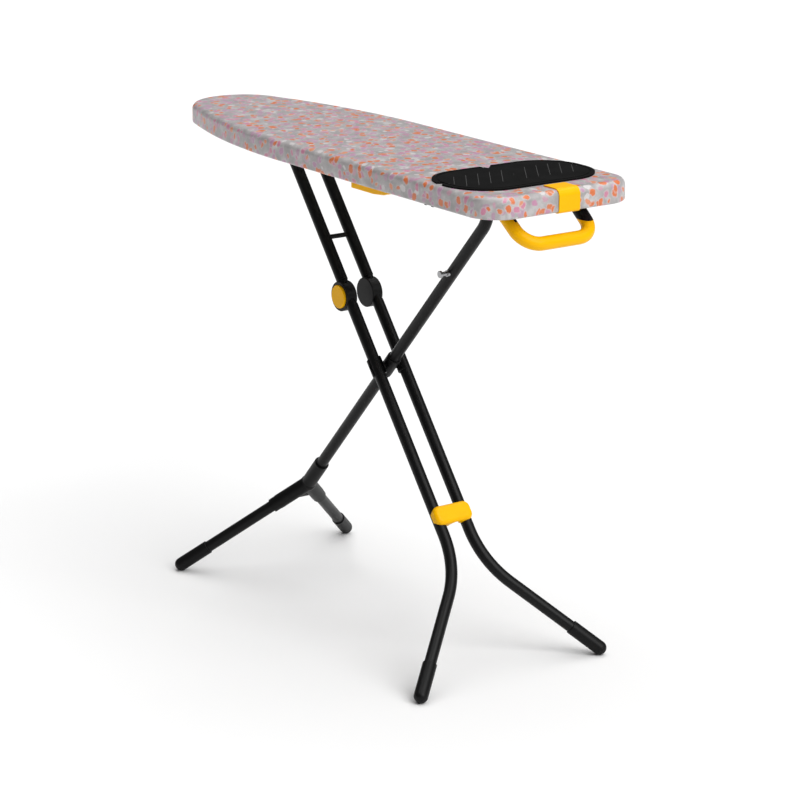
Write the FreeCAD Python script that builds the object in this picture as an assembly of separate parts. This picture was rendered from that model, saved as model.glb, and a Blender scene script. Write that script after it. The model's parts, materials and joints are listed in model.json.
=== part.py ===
"""Folding ironing board: padded table, cranked twin leg with elbow hinges, and a Y-footed cross leg."""

import FreeCAD
import Part
import math
import os

os.makedirs("parts", exist_ok=True)

# Table top, mm. +X is the heel, -X the nose, +Y the far side, Z=0 the floor.
HEEL_X = 556.0
NOSE_X = -558.0
HALF_WIDTH = 158.5
UNDER_Z = 874.0
TOP_Z = 912.0
CORNER_R = 58.0
SIDE_END_X = -76.0
FLANK_R = 1345.0
EDGE_R = 11.0
COVER_T = 1.6
PAD_T = 9.0
SHEET_T = 0.9
DECK_Z = 900.4
RIM_Z = 876.0

# Legs, mm and degrees.
TUBE_R = 11.0
TUBE_WALL = 1.2
CROSS = (43.6, 494.65)
TWIN_TILT = 51.446
REAR_TILT = 47.355
TWIN_Y = 28.7
TWIN_BEND_S = 342.0
TWIN_BEND_R = 180.0
SPLAY = 39.2
FOOT_R = 13.1
FOOT_Z = 13.1
TWIN_FOOT_Y = 200.0
REAR_FOOT_Y = 196.7
FOOT_LENGTH = 66.0
FRONT_PIVOT_Z = 858.0
ELBOW_S = 155.0
ELBOW_OFFSET = 13.0
ELBOW_R = 28.0
TONGUE_HALF = 3.9
REAR_PIVOT_S = 470.0
REAR_PIVOT_OFFSET = 26.0
AXLE_R = 5.0
BOLT_R = 4.0
ROLLER_R = 8.0
RUN = 0.05

# Small fittings, mm.
HUB_S = 415.0
SOCKET_R = 14.5
CLIP_S = 308.0
CLIP_LENGTH = 37.0
STUD_S = 291.0
BRACE_S = 271.5
GRIP_X = 545.0
GRIP_Z = 823.5
GRIP_R = 12.0
GRIP_HALF = 73.5
HANDLE_LEAN = 1.32
HANDLE_SPREAD = 0.05
GRIP_TOP_Z = 846.0
INNER_TOP_Z = 859.0
WRAP_TOP_Z = 882.0
MAT_X = (331.0, 504.0)
MAT_Y = (-150.0, 145.0)
MAT_R = 78.0
LEVER_X = 134.0
LEVER_Z = 865.0
LEVER_Y = -140.0
FOLDED_STUD_X = 199.6
FOLDED_STUD_Z = 832.0
NOTCHES_X = (342.9, 378.6, 405.0, 430.0, 455.0)

twin_up = (-math.cos(math.radians(TWIN_TILT)), math.sin(math.radians(TWIN_TILT)))
twin_face = (twin_up[1], -twin_up[0])
rear_up = (math.cos(math.radians(REAR_TILT)), math.sin(math.radians(REAR_TILT)))
rear_face = (-rear_up[1], rear_up[0])
SIDES = (("near", -1.0), ("far", 1.0))


def vec(x, y, z):
    return FreeCAD.Vector(x, y, z)


def export(name, shape):
    """Write one sub-part to its STEP file."""
    if len(shape.Solids) == 1:
        shape = shape.Solids[0]
    shape.exportStep("parts/" + name + ".step")


def twin(s, y=0.0, out=0.0):
    """Point s down the twin leg from the cross pivot, out towards the heel side."""
    x = CROSS[0] - s * twin_up[0] + out * twin_face[0]
    z = CROSS[1] - s * twin_up[1] + out * twin_face[1]
    return vec(x, y, z)


def rear(s, y=0.0, out=0.0):
    """Point s down the cross leg from the cross pivot, out towards the nose side."""
    x = CROSS[0] - s * rear_up[0] + out * rear_face[0]
    z = CROSS[1] - s * rear_up[1] + out * rear_face[1]
    return vec(x, y, z)


def rod(a, b, r):
    """Round bar from a to b."""
    return Part.makeCylinder(r, (b - a).Length, a, b - a)


def bar_y(x, z, y0, y1, r):
    """Round bar along Y."""
    low = min(y0, y1)
    return Part.makeCylinder(r, abs(y1 - y0), vec(x, low, z), vec(0, 1, 0))


def block(x0, x1, y0, y1, z0, z1):
    """Rectangular block between two sets of limits."""
    low = vec(min(x0, x1), min(y0, y1), min(z0, z1))
    return Part.makeBox(abs(x1 - x0), abs(y1 - y0), abs(z1 - z0), low)


def prism(points, push):
    """Extruded polygon."""
    wire = Part.makePolygon(points + [points[0]])
    return Part.Face(wire).extrude(push)


def bent(points, radii, r):
    """Solid round bar along a polyline whose inner corners have bend radii."""
    edges = []
    start = points[0]
    for i, radius in enumerate(radii):
        corner = points[i + 1]
        back = (points[i] - corner).normalize()
        ahead = (points[i + 2] - corner).normalize()
        half = back.getAngle(ahead) / 2
        reach = radius / math.tan(half)
        first = corner + back * reach
        last = corner + ahead * reach
        middle = (back + ahead).normalize()
        top = corner + middle * (radius / math.sin(half) - radius)
        edges.append(Part.LineSegment(start, first).toShape())
        edges.append(Part.Arc(first, top, last).toShape())
        start = last
    edges.append(Part.LineSegment(start, points[-1]).toShape())
    circle = Part.Wire(Part.Circle(points[0], points[1] - points[0], r).toShape())
    return Part.Wire(edges).makePipeShell([circle], True, False)


def outline(inset):
    """Plan of the table, every curve moved in by inset, as a wire at Z=0."""
    w = HALF_WIDTH - inset
    heel = HEEL_X - inset
    rc = CORNER_R - inset
    total = HALF_WIDTH * HALF_WIDTH
    reach = SIDE_END_X - NOSE_X
    nose_r = (2 * FLANK_R * HALF_WIDTH - total - reach * reach) / (2 * FLANK_R - 2 * reach)
    theta = math.asin((reach - nose_r) / (FLANK_R - nose_r))
    nose_c = NOSE_X + nose_r
    flank = FLANK_R - inset
    rn = nose_r - inset

    def on_flank(angle, side):
        x = SIDE_END_X - flank * math.sin(angle)
        return vec(x, side * (w - flank * (1 - math.cos(angle))), 0)

    def on_corner(angle, side):
        x = heel - rc + rc * math.sin(angle)
        return vec(x, side * (w - rc + rc * math.cos(angle)), 0)

    quarter = math.pi / 2
    edges = [Part.LineSegment(on_corner(quarter, -1), on_corner(quarter, 1))]
    edges.append(Part.Arc(on_corner(quarter, 1), on_corner(quarter / 2, 1), on_corner(0, 1)))
    edges.append(Part.LineSegment(on_corner(0, 1), on_flank(0, 1)))
    edges.append(Part.Arc(on_flank(0, 1), on_flank(theta / 2, 1), on_flank(theta, 1)))
    edges.append(Part.Arc(on_flank(theta, 1), vec(nose_c - rn, 0, 0), on_flank(theta, -1)))
    edges.append(Part.Arc(on_flank(theta, -1), on_flank(theta / 2, -1), on_flank(0, -1)))
    edges.append(Part.LineSegment(on_flank(0, -1), on_corner(0, -1)))
    edges.append(Part.Arc(on_corner(0, -1), on_corner(quarter / 2, -1), on_corner(quarter, -1)))
    return Part.Wire([e.toShape() for e in edges])


def slab(inset, z0, z1):
    """Plate in the table's plan."""
    face = Part.Face(outline(inset))
    face.translate(vec(0, 0, z0))
    return face.extrude(vec(0, 0, z1 - z0))


def rounded(shape, z, r):
    """Fillet every edge that lies at height z."""
    found = [e for e in shape.Edges if abs(e.BoundBox.ZMin - z) < 0.01 and abs(e.BoundBox.ZMax - z) < 0.01]
    return shape.makeFillet(r, found)


def cover():
    """Fitted fabric cover: top, sides and a hem turned under the rim."""
    outer = rounded(rounded(slab(0, UNDER_Z, TOP_Z), TOP_Z, EDGE_R), UNDER_Z, 4.0)
    inner = slab(COVER_T, UNDER_Z + COVER_T, TOP_Z - COVER_T)
    inner = rounded(inner, TOP_Z - COVER_T, EDGE_R - COVER_T)
    inner = rounded(inner, UNDER_Z + COVER_T, 4.0 - COVER_T)
    return outer.cut(inner).cut(slab(42.0, UNDER_Z - 1, UNDER_Z + 3))


def pad():
    """Foam pad under the cover's top."""
    z0 = DECK_Z + SHEET_T
    return rounded(slab(3.0, z0, z0 + PAD_T), z0 + PAD_T, 8.4)


def deck():
    """Steel sheet with rows of diamond openings that let steam through."""
    sheet = slab(4.0, DECK_Z, DECK_Z + SHEET_T)
    holes = []
    for i in range(15):
        for row, y in enumerate((-120.0, -90.0, 90.0, 120.0)):
            x = -360.0 + 60.0 * i + 30.0 * (row % 2)
            limit = 84.0 if x < -300 else 105.0 if x < -230 else 130.0
            if abs(y) > limit or x > 470.0:
                continue
            points = [vec(x - 24, y, 890), vec(x, y - 11, 890), vec(x + 24, y, 890), vec(x, y + 11, 890)]
            holes.append(prism(points, vec(0, 0, 20)))
    return sheet.cut(Part.makeCompound(holes))


def rim():
    """Pressed skirt round the deck, with its lower edge turned in."""
    skirt = slab(4.0, RIM_Z, DECK_Z).cut(slab(4.0 + SHEET_T, RIM_Z - 1, DECK_Z + 1))
    lip = slab(4.0 + SHEET_T, RIM_Z, RIM_Z + SHEET_T).cut(slab(16.0, RIM_Z - 1, RIM_Z + 5))
    return skirt.fuse(lip).removeSplitter()


def front_bracket(side):
    """Pressed ear that hangs one end of the front axle from the deck."""
    x, z = twin(-(FRONT_PIVOT_Z - CROSS[1]) / twin_up[1]).x, FRONT_PIVOT_Z
    foot = block(x - 28, x + 28, side * 41.5, side * 66.0, DECK_Z - 2.5, DECK_Z)
    ear = block(x - 20, x + 20, side * 41.5, side * 44.5, z, DECK_Z - 2.5)
    round_end = bar_y(x, z, side * 41.5, side * 44.5, 14.0)
    neck = [vec(x - 20, side * 41.5, z + 18), vec(x - 14, side * 41.5, z)]
    neck += [vec(x - 30, side * 41.5, z), vec(x - 30, side * 41.5, z + 18)]
    cuts = []
    for mirror in (1, -1):
        points = [vec(x + mirror * (p.x - x), p.y, p.z) for p in neck]
        cuts.append(prism(points, vec(0, side * 3.0, 0)))
    ear = ear.cut(Part.makeCompound(cuts)).fuse(round_end).fuse(foot).removeSplitter()
    return ear.cut(bar_y(x, z, side * 40, side * 46, AXLE_R))


def front_axle():
    """Steel axle with upset heads through both front brackets and the twin leg's top ends."""
    x = twin(-(FRONT_PIVOT_Z - CROSS[1]) / twin_up[1]).x
    shaft = bar_y(x, FRONT_PIVOT_Z, -44.5, 44.5, AXLE_R)
    heads = [bar_y(x, FRONT_PIVOT_Z, s * 44.5, s * 48.0, AXLE_R + 3) for s in (-1, 1)]
    return shaft.fuse(heads).removeSplitter()


def guide_rail(side):
    """Channel whose lower flange rides on one axle roller."""
    run_z = FRONT_PIVOT_Z + ROLLER_R + RUN
    low = block(322, 482, side * 38, side * 54, run_z, run_z + 2)
    web = block(322, 482, side * 52, side * 54, run_z, DECK_Z)
    top = block(322, 482, side * 38, side * 54, DECK_Z - 2, DECK_Z)
    return low.fuse([web, top]).removeSplitter()


def fold_catch():
    """Downward fork that takes the stud when the legs are folded."""
    x, z = FOLDED_STUD_X, FOLDED_STUD_Z
    plate = block(x - 13, x + 13, -24, -17, z - 8, DECK_Z - 4)
    foot = block(x - 20, x + 20, -40, -17, DECK_Z - 4, DECK_Z)
    slot = block(x - 4.3, x + 4.3, -25, -16, z - 9, z + 0.2)
    mouth = prism([vec(x - 9, -25, z - 9), vec(x + 9, -25, z - 9), vec(x, -25, z)], vec(0, 9, 0))
    body = plate.fuse(foot).removeSplitter()
    return body.cut(slot.fuse([bar_y(x, z + 0.2, -25, -16, 4.3), mouth]))


def lever_hanger(y0, y1):
    """Moulded block that carries the lever shaft below the deck."""
    arm = block(LEVER_X - 8, LEVER_X + 8, y0, y1, LEVER_Z, DECK_Z)
    end = bar_y(LEVER_X, LEVER_Z, y0, y1, 8.0)
    foot = block(LEVER_X - 18, LEVER_X + 18, y0, y1, DECK_Z - 4, DECK_Z)
    return arm.fuse([end, foot]).removeSplitter().cut(bar_y(LEVER_X, LEVER_Z, y0, y1, BOLT_R + RUN))


def lever_spring():
    """Torsion spring round the lever shaft, drawn as a closed coil with two short tails."""
    coil = Part.makeHelix(1.9, 9.5, 5.4)
    circle = Part.Wire(Part.Circle(vec(5.4, 0, 0), vec(0, 1, 0.05), 0.7).toShape())
    spring = Part.Wire(coil).makePipeShell([circle], True, True)
    spring.rotate(vec(0, 0, 0), vec(1, 0, 0), -90)
    spring.translate(vec(LEVER_X, -89.0, LEVER_Z))
    return spring


def heel_tab():
    """Moulded tongue hooked over the heel edge."""
    t = 2.0
    x0, x1 = HEEL_X - 42.0, HEEL_X
    z0, z1 = UNDER_Z, TOP_Z
    ro, ri = EDGE_R + t, EDGE_R
    co = math.cos(math.pi / 4)
    top = vec(x1 - ri, 0, z1 - ri)
    low = vec(x1 - 4, 0, z0 + 4)

    def lines(a, b):
        return Part.LineSegment(a, b).toShape()

    def arc(c, r, sx, sz):
        mid = c + vec(r * co, 0, sz * r * co)
        ends = [c + vec(0, 0, sz * r), c + vec(r, 0, 0)]
        return ends, Part.Arc(ends[0], mid, ends[1]).toShape()

    outer_top, e_outer_top = arc(top, ro, 1, 1)
    inner_top, e_inner_top = arc(top, ri, 1, 1)
    outer_low, e_outer_low = arc(low, 4 + t, 1, -1)
    inner_low, e_inner_low = arc(low, 4, 1, -1)
    a, b = vec(x0, 0, z1 + t), vec(x0, 0, z1)
    c, d = vec(x1 - 34, 0, z0), vec(x1 - 34, 0, z0 - t)
    edges = [lines(a, outer_top[0]), e_outer_top, lines(outer_top[1], outer_low[1]), e_outer_low]
    edges += [lines(outer_low[0], d), lines(d, c), lines(c, inner_low[0]), e_inner_low]
    edges += [lines(inner_low[1], inner_top[1]), e_inner_top, lines(inner_top[0], b), lines(b, a)]
    wire = Part.Wire(Part.__sortEdges__(edges))
    tab = Part.Face(wire).extrude(vec(0, 44, 0))
    tab.translate(vec(0, -14, 0))
    return tab


def round_plate(inset, r, z0, z1):
    """Plate in the iron rest's plan, moved in by inset."""
    plate = block(MAT_X[0] + inset, MAT_X[1] - inset, MAT_Y[0] + inset, MAT_Y[1] - inset, z0, z1)
    upright = [e for e in plate.Edges if e.BoundBox.ZLength > (z1 - z0) * 0.9]
    return plate.makeFillet(r, upright)


def iron_mat():
    """Heat-proof mat with a raised border and two finger notches."""
    x0, low_y = MAT_X[0], MAT_Y[0]
    plate = round_plate(0, MAT_R, TOP_Z, TOP_Z + 3.0)
    pocket = round_plate(7, MAT_R - 7, TOP_Z + 2.2, TOP_Z + 4)
    land = round_plate(10, MAT_R - 10, TOP_Z + 2, TOP_Z + 3.0)
    notch = prism([vec(x0 - 1, -12, 900), vec(x0 - 1, 14, 900), vec(x0 + 19, -5, 900)], vec(0, 0, 20))
    nick = [vec(x0 + 66, low_y - 1, 900), vec(x0 + 84, low_y - 1, 900), vec(x0 + 72, low_y + 12, 900)]
    nick = prism(nick, vec(0, 0, 20))
    return plate.cut(pocket.cut(land)).cut(notch).cut(nick)


def handle_path():
    """Corners of the carry handle's centreline: a low grip and two legs that lean back and spread."""
    rise = DECK_Z - GRIP_Z
    top_x = GRIP_X - rise * HANDLE_LEAN
    top_y = GRIP_HALF + rise * HANDLE_SPREAD
    points = [vec(top_x, -top_y, DECK_Z), vec(GRIP_X, -GRIP_HALF, GRIP_Z)]
    return points + [vec(GRIP_X, GRIP_HALF, GRIP_Z), vec(top_x, top_y, DECK_Z)]


def handle():
    """Carry handle: a core that runs up to the deck and a soft grip moulded over it."""
    points = handle_path()
    core = bent(points, (36.0, 36.0), 8.0)
    full = bent(points, (36.0, 36.0), GRIP_R)
    trim = block(300, 700, -200, 200, DECK_Z, DECK_Z + 60)
    upper = block(300, 700, 0, 200, GRIP_TOP_Z, DECK_Z + 60)
    upper = upper.fuse(block(300, 700, -200, 0, INNER_TOP_Z, DECK_Z + 60)).removeSplitter()
    low_y = -GRIP_HALF - (INNER_TOP_Z - 1 - GRIP_Z) * HANDLE_SPREAD
    high_y = -GRIP_HALF - (WRAP_TOP_Z - GRIP_Z) * HANDLE_SPREAD
    wrap = [vec(300, low_y, INNER_TOP_Z - 1), vec(300, high_y, WRAP_TOP_Z)]
    wrap += [vec(300, -200, WRAP_TOP_Z), vec(300, -200, INNER_TOP_Z - 1)]
    upper = upper.cut(prism(wrap, vec(400, 0, 0)))
    grip = full.cut(core).cut(upper)
    shoulder = full.common(upper)
    feet = []
    for side in (-1, 1):
        x, y = points[0].x, side * points[3].y
        feet.append(block(x - 24, x + 20, y - 15, y + 15, DECK_Z - 5, DECK_Z))
    core = core.fuse(shoulder).fuse(feet).removeSplitter().cut(trim)
    return core, grip.cut(trim)


def handle_screws():
    """Pan-head screws under the handle's feet."""
    screws = []
    for side in (-1, 1):
        x, y = handle_path()[0].x, side * handle_path()[3].y
        for across in (-9.0, 9.0):
            screws.append(Part.makeCylinder(3.6, 2.2, vec(x - 18, y + across, DECK_Z - 7.2)))
    return Part.makeCompound(screws)


def rivets():
    """Dome rivets that hold the brackets and rails under the deck."""
    places = [(x, side * 60.0, DECK_Z - 2.5) for x in (-264.0, -228.0) for side in (-1, 1)]
    places += [(x, side * 45.0, DECK_Z - 2.0) for x in (340.0, 400.0, 464.0) for side in (-1, 1)]
    return Part.makeCompound([Part.makeCylinder(3.5, 1.8, vec(x, y, z - 1.8)) for x, y, z in places])


def release_lever():
    """Squeeze paddle under the near edge, hinged at its square end."""
    y0, y1 = LEVER_Y, LEVER_Y + 34.0
    x = LEVER_X
    points = [vec(x - 6, y0, 871.5), vec(x - 6, y0, 858.5), vec(x + 60, y0, 858.5), vec(x + 92, y0, 861.5)]
    points += [vec(x + 104, y0, 865.5), vec(x + 104, y0, 868), vec(x + 30, y0, 869), vec(x + 12, y0, 871.5)]
    paddle = prism(points, vec(0, y1 - y0, 0))
    below = [e for e in paddle.Edges if e.CenterOfMass.z < 864 and e.BoundBox.ZLength < 4]
    paddle = paddle.makeFillet(1.8, [e for e in below if e.BoundBox.YLength < 1])
    return paddle.cut(bar_y(x, LEVER_Z, y0 + 3, y1 + 1, BOLT_R))


def lever_shaft():
    """Steel cross shaft that carries the paddle's turn to the rack."""
    return bar_y(LEVER_X, LEVER_Z, LEVER_Y + 3, 30.0, BOLT_R)


def rack_bar():
    """Two notched arms and the web between them, dropped over the rear axle."""
    arms = []
    for side in (-1, 1):
        y = side * 13.0
        points = [vec(LEVER_X - 8, y, 857), vec(320, y, 860), vec(468, y, 860), vec(468, y, 880)]
        points += [vec(320, y, 880), vec(LEVER_X - 8, y, 873)]
        arms.append(prism(points, vec(0, side * 2.0, 0)))
    web = block(322, 468, -13, 13, 878, 880)
    bar = arms[0].fuse([arms[1], web]).removeSplitter()
    cuts = [bar_y(x, FRONT_PIVOT_Z, -20, 20, AXLE_R + 0.25) for x in NOTCHES_X]
    cuts.append(bar_y(LEVER_X, LEVER_Z, -20, 20, BOLT_R))
    return bar.cut(Part.makeCompound(cuts))


def upper_tube(side):
    """Upper twin tube from the front axle to the elbow."""
    y = side * TWIN_Y
    top = (FRONT_PIVOT_Z - CROSS[1]) / twin_up[1] + 8.0
    a, b = twin(-ELBOW_S - 26.0, y), twin(-top, y)
    shell = rod(a, b, TUBE_R).cut(rod(a, b, TUBE_R - TUBE_WALL))
    pivot = twin(8.0 - top)
    centre = twin(-ELBOW_S, 0, -ELBOW_OFFSET)
    shell = shell.cut(bar_y(centre.x, centre.z, y - 20, y + 20, ELBOW_R + 0.3))
    return shell.cut(bar_y(pivot.x, pivot.z, y - 20, y + 20, AXLE_R + RUN))


def top_plug(side):
    """Plug that closes a tube's top end and bears on the front axle."""
    y = side * TWIN_Y
    top = (FRONT_PIVOT_Z - CROSS[1]) / twin_up[1] + 8.0
    inner = rod(twin(32.0 - top, y), twin(-top, y), TUBE_R - TUBE_WALL)
    cap = rod(twin(-top, y), twin(-top - 3.0, y), TUBE_R)
    crown = twin(-top - 3.0, y)
    cap = cap.makeFillet(2.0, [e for e in cap.Edges if e.CenterOfMass.distanceToPoint(crown) < 0.1])
    pivot = twin(8.0 - top)
    return inner.fuse(cap).removeSplitter().cut(bar_y(pivot.x, pivot.z, y - 20, y + 20, AXLE_R + RUN))


def brace():
    """Cross rod welded between the upper tubes."""
    p = twin(-BRACE_S)
    shape = bar_y(p.x, p.z, -TWIN_Y, TWIN_Y, 4.5)
    for side in (-1, 1):
        y = side * TWIN_Y
        shape = shape.cut(rod(twin(-BRACE_S - 40, y), twin(-BRACE_S + 40, y), TUBE_R))
    return shape


def elbow_housing(side):
    """Two cheeks and a spigot that fills the upper tube's lower end."""
    y = side * TWIN_Y
    c = twin(-ELBOW_S, 0, -ELBOW_OFFSET)
    disc = bar_y(c.x, c.z, y - TUBE_R, y + TUBE_R, ELBOW_R)
    rims = [e for e in disc.Edges if e.Curve.TypeId == "Part::GeomCircle"]
    disc = disc.makeFillet(1.5, rims)
    neck = rod(twin(-ELBOW_S, y), twin(-ELBOW_S - 60.0, y), TUBE_R - TUBE_WALL)
    slot = bar_y(c.x, c.z, y - TONGUE_HALF - 0.1, y + TONGUE_HALF + 0.1, ELBOW_R + 0.3)
    body = disc.fuse(neck).removeSplitter().cut(slot)
    floor = y + side * (TUBE_R - 4.0)
    body = body.cut(bar_y(c.x, c.z, floor, y + side * 12.0, 22.15))
    return body.cut(bar_y(c.x, c.z, y - side * 8.0, y + side * 20, BOLT_R))


def elbow_pin(side):
    """Hinge pin with a pocket for the button's spring."""
    y = side * TWIN_Y
    c = twin(-ELBOW_S, 0, -ELBOW_OFFSET)
    pin = bar_y(c.x, c.z, y - side * 8.0, y + side * 6.9, BOLT_R)
    return pin.cut(bar_y(c.x, c.z, y - side * 2.0, y + side * 7.0, 2.7))


def button_spring(side):
    """Small compression spring in the pin's pocket."""
    coil = Part.makeHelix(1.7, 8.0, 2.0)
    circle = Part.Wire(Part.Circle(vec(2.0, 0, 0), vec(0, 1, 0.1), 0.35).toShape())
    spring = Part.Wire(coil).makePipeShell([circle], True, True)
    c = twin(-ELBOW_S, 0, -ELBOW_OFFSET)
    spring.rotate(vec(0, 0, 0), vec(1, 0, 0), -90 * side)
    spring.translate(vec(c.x, side * (TWIN_Y - 1.4), c.z))
    return spring


def elbow_button(side):
    """Round release button in the outer cheek, with a guide stem."""
    y = side * TWIN_Y
    c = twin(-ELBOW_S, 0, -ELBOW_OFFSET)
    cap = bar_y(c.x, c.z, y + side * 10.3, y + side * 14.8, 22.0)
    outer = y + side * 14.8
    cap = cap.makeFillet(2.0, [e for e in cap.Edges if abs(e.CenterOfMass.y - outer) < 0.01])
    return cap.fuse(bar_y(c.x, c.z, y + side * 2.5, y + side * 10.3, 1.2)).removeSplitter()


def twin_corners(side):
    """Corners of the lower twin tube's centreline."""
    slope = math.tan(math.radians(SPLAY))
    foot_s = (CROSS[1] - FOOT_Z) / twin_up[1]
    corner_s = foot_s - (TWIN_FOOT_Y - TWIN_Y) / slope
    return [(-ELBOW_S + 26.0, side * TWIN_Y), (corner_s, side * TWIN_Y), (foot_s, side * TWIN_FOOT_Y)]


def along(a, b, back):
    """Point back from b towards a."""
    return b + (a - b).normalize() * back


def lower_tube(side):
    """Lower twin tube, straight past the cross pivot and then splayed to its foot."""
    points = [twin(s, y) for s, y in twin_corners(side)]
    points[2] = along(points[1], points[2], 6.0)
    outer = bent(points, (TWIN_BEND_R,), TUBE_R)
    points[0] = twin(-ELBOW_S + 25.0, side * TWIN_Y)
    shell = outer.cut(bent(points, (TWIN_BEND_R,), TUBE_R - TUBE_WALL))
    c = twin(-ELBOW_S, 0, -ELBOW_OFFSET)
    y = side * TWIN_Y
    shell = shell.cut(bar_y(c.x, c.z, y - 20, y + 20, ELBOW_R + 0.3))
    return shell.cut(bar_y(CROSS[0], CROSS[1], y - 20, y + 20, BOLT_R))


def elbow_tongue(side):
    """Middle blade of the elbow with a spigot that fills the lower tube's top end."""
    y = side * TWIN_Y
    c = twin(-ELBOW_S, 0, -ELBOW_OFFSET)
    blade = bar_y(c.x, c.z, y - TONGUE_HALF, y + TONGUE_HALF, ELBOW_R)
    neck = rod(twin(-ELBOW_S + 2.0, y), twin(-ELBOW_S + 62.0, y), TUBE_R - TUBE_WALL)
    room = bar_y(c.x, c.z, y - 15, y + 15, ELBOW_R + 0.3)
    keep = bar_y(c.x, c.z, y - TONGUE_HALF, y + TONGUE_HALF, ELBOW_R + 0.4)
    neck = neck.cut(room.cut(keep))
    return blade.fuse(neck).removeSplitter().cut(bar_y(c.x, c.z, y - 20, y + 20, BOLT_R + RUN))


def pivot_saddle(side):
    """Moulded collar round a twin tube at the cross pivot."""
    y = side * TWIN_Y
    collar = rod(twin(-17, y), twin(17, y), 14.0)
    collar = collar.makeFillet(1.5, [e for e in collar.Edges if e.Curve.TypeId == "Part::GeomCircle"])
    inner, outer = side * (TWIN_Y - 7.0), side * (TWIN_Y + 20.0)
    front = [twin(-25, inner, 3.0), twin(-25, outer, -2.0), twin(-25, outer, 20.0), twin(-25, inner, 20.0)]
    collar = collar.cut(prism(front, twin(25) - twin(-25)))
    boss = bar_y(CROSS[0], CROSS[1], side * 14.6, side * 18.6, 9.0)
    body = collar.fuse(boss).removeSplitter().cut(rod(twin(-30, y), twin(30, y), TUBE_R))
    return body.cut(bar_y(CROSS[0], CROSS[1], y - 30, y + 30, BOLT_R))


def cross_bolt():
    """Pivot pin through both legs, riveted flush in the twin tubes."""
    end = TWIN_Y + TUBE_R - 0.4
    return bar_y(CROSS[0], CROSS[1], -end, end, BOLT_R)


def leg_clip():
    """Moulded clip across the twin tubes that also holds the cross leg when folded."""
    half, low, high = 40.0, 0.0, 17.0
    a, b = CLIP_S - CLIP_LENGTH / 2, CLIP_S + CLIP_LENGTH / 2
    points = [twin(a, -half, low), twin(a, half, low), twin(a, half, high), twin(a, -half, high)]
    push = twin(b) - twin(a)
    body = prism(points, push)
    face = twin(0, 0, 1) - twin(0)
    ends = [e for e in body.Edges if abs(abs(e.tangentAt(e.FirstParameter).dot(face)) - 1) < 0.001]
    body = body.makeFillet(13.0, ends)
    front = [e for e in body.Edges if (e.CenterOfMass - twin(CLIP_S)).dot(face) > high - 0.1]
    body = body.makeFillet(8.0, front)
    for side in (-1, 1):
        body = body.cut(rod(twin(a - 5, side * TWIN_Y), twin(b + 5, side * TWIN_Y), TUBE_R))
    slot = [twin(a - 5, -11.8, 0), twin(a - 5, 11.8, 0), twin(a - 5, 11.8, -10), twin(a - 5, -11.8, -10)]
    body = body.cut(prism(slot, twin(b + 5) - twin(a - 5)))
    return body.cut(rod(twin(a - 5), twin(b + 5), 11.8))


def foot_cap(near, tip, tube_end):
    """Moulded foot: sleeve, dome and a bore that takes the tube."""
    top = along(near, tip, FOOT_LENGTH)
    sleeve = rod(top, tip, FOOT_R)
    sleeve = sleeve.makeFillet(0.9, [e for e in sleeve.Edges if e.CenterOfMass.distanceToPoint(top) < 0.1])
    body = sleeve.fuse(Part.makeSphere(FOOT_R, tip)).removeSplitter()
    return body.cut(rod(along(near, tip, FOOT_LENGTH + 5), tube_end, TUBE_R))


def twin_foot(side):
    """Foot of one twin tube."""
    points = [twin(s, y) for s, y in twin_corners(side)]
    return foot_cap(points[1], points[2], along(points[1], points[2], 6.0))


def rear_tube():
    """Cross leg tube from the hub up to the rear axle, cranked upright at its top."""
    pivot = rear(-REAR_PIVOT_S, 0, REAR_PIVOT_OFFSET)
    rise = (pivot.x - CROSS[0]) / rear_up[0]
    corner = rear(-rise)
    points = [rear(HUB_S - 30.0), corner, vec(pivot.x, 0, pivot.z + 8.0)]
    shell = bent(points, (60.0,), TUBE_R).cut(bent(points, (60.0,), TUBE_R - TUBE_WALL))
    shell = shell.cut(bar_y(CROSS[0], CROSS[1], -20, 20, BOLT_R + RUN))
    return shell.cut(bar_y(pivot.x, pivot.z, -20, 20, AXLE_R))


def rear_top_plug():
    """Plug in the cross leg's top end."""
    pivot = rear(-REAR_PIVOT_S, 0, REAR_PIVOT_OFFSET)
    inner = rod(vec(pivot.x, 0, pivot.z - 14), vec(pivot.x, 0, pivot.z + 8), TUBE_R - TUBE_WALL)
    cap = rod(vec(pivot.x, 0, pivot.z + 8), vec(pivot.x, 0, pivot.z + 10), TUBE_R)
    return inner.fuse(cap).removeSplitter().cut(bar_y(pivot.x, pivot.z, -20, 20, AXLE_R))


def rear_axle():
    """Steel cross axle that the table's guide rails rest on."""
    pivot = rear(-REAR_PIVOT_S, 0, REAR_PIVOT_OFFSET)
    shaft = bar_y(pivot.x, pivot.z, -52.5, 52.5, AXLE_R)
    heads = [bar_y(pivot.x, pivot.z, s * 52.5, s * 54.5, AXLE_R + 1.5) for s in (-1, 1)]
    return shaft.fuse(heads).removeSplitter()


def axle_roller(side):
    """Plastic roller near one end of the rear axle."""
    pivot = rear(-REAR_PIVOT_S, 0, REAR_PIVOT_OFFSET)
    roller = bar_y(pivot.x, pivot.z, side * 40, side * 52, ROLLER_R)
    return roller.cut(bar_y(pivot.x, pivot.z, side * 38, side * 54, AXLE_R))


def pivot_block():
    """Moulded sleeve round the cross leg at the cross pivot."""
    body = rod(rear(-24), rear(24), 13.5)
    body = body.makeFillet(1.2, [e for e in body.Edges if e.Curve.TypeId == "Part::GeomCircle"])
    body = body.cut(rod(rear(-30), rear(30), TUBE_R))
    return body.cut(bar_y(CROSS[0], CROSS[1], -20, 20, BOLT_R + RUN))


def rear_branch(side):
    """Hub point and foot point of one splayed rear tube."""
    foot_s = (CROSS[1] - FOOT_Z) / rear_up[1]
    return rear(HUB_S), rear(foot_s, side * REAR_FOOT_Y)


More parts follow.
